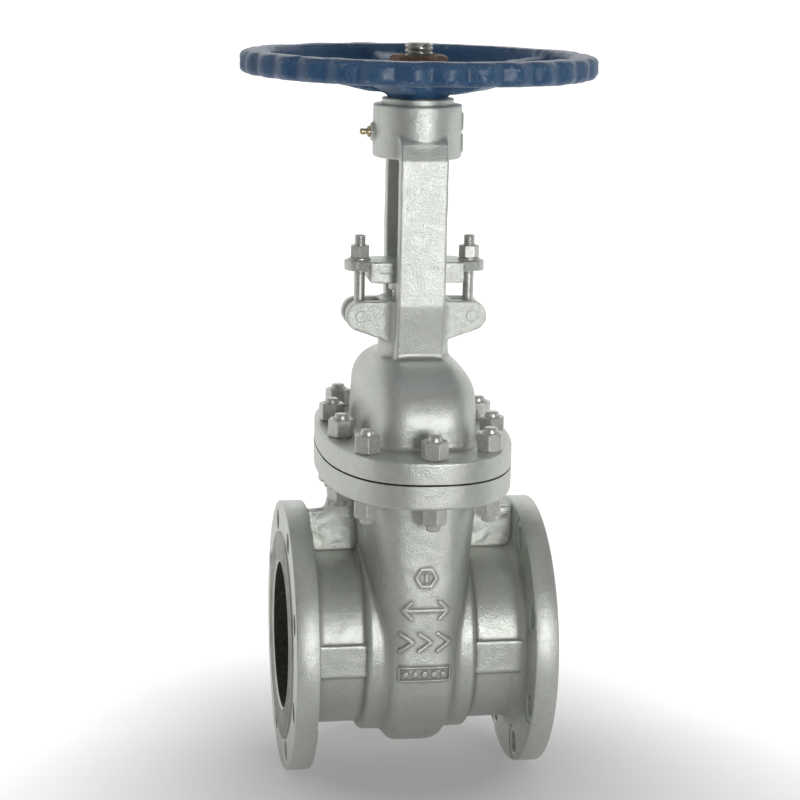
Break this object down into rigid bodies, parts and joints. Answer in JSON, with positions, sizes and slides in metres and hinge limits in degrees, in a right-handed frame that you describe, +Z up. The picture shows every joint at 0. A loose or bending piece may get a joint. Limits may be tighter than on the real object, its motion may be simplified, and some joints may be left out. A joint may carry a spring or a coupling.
{
  "type": "gate valve",
  "caption": "Flanged cast-steel gate valve with a bolted oval bonnet, an outside yoke, a rising stem and a spoked handwheel, shown closed.",
  "frame": {"origin": "on the stem axis, level with the lowest points of the two end flanges", "axes": "+X along the pipe, +Z up the stem, +Y across the pipe; the yoke arms stand on the Y sides"},
  "size_m": [0.357, 0.357, 0.7507],
  "materials": {
    "cast_paint": "satin aluminium paint over sand-cast steel",
    "machined_steel": "turned and ground",
    "stem_steel": "turned stainless steel with a rolled thread",
    "bolting": "forged steel with the valve's aluminium paint over it",
    "wheel_paint": "blue enamel over ductile iron",
    "wheel_nut": "bare iron with a rust bloom",
    "bronze": "machined bronze",
    "brass": "turned brass",
    "graphite": "pressed graphite"
  },
  "bodies": {
    "valve": {"body": "cast_paint", "bonnet": "cast_paint", "gland_flange": "cast_paint", "bearing_cap": "cast_paint", "seat_ring_left": "machined_steel", "seat_ring_right": "machined_steel", "bonnet_gasket": "graphite", "backseat_bushing": "machined_steel", "packing_washer": "machined_steel", "packing_rings": "graphite", "gland_follower": "machined_steel", "eyebolt_left": "bolting", "eyebolt_right": "bolting", "eyebolt_pins": "bolting", "gland_washers": "bolting", "gland_nuts": "bolting", "bonnet_studs": "bolting", "bonnet_nuts_upper": "bolting", "bonnet_nuts_lower": "bolting", "thrust_washer_lower": "bronze", "thrust_washer_upper": "bronze", "grease_nipple": "brass"},
    "stem_assembly": {"stem": "stem_steel", "gate_wedge": "machined_steel"},
    "handwheel_assembly": {"handwheel": "wheel_paint", "yoke_sleeve": "machined_steel", "handwheel_key": "machined_steel", "handwheel_nut": "wheel_nut"}
  },
  "joints": [
    {"name": "handwheel_turn", "type": "hinge", "parent": "valve", "child": "handwheel_assembly", "pos_m": [0, 0, 0.7247], "axis": [0, 0, 1], "range_deg": [0, 11520]},
    {"name": "stem_lift", "type": "slide", "parent": "valve", "child": "stem_assembly", "axis": [0, 0, 1], "range_m": [0, 0.16]}
  ],
  "couplings": [
    {"joint": "stem_lift", "follows": "handwheel_turn", "m_per_rad": 0.00079577}
  ]
}
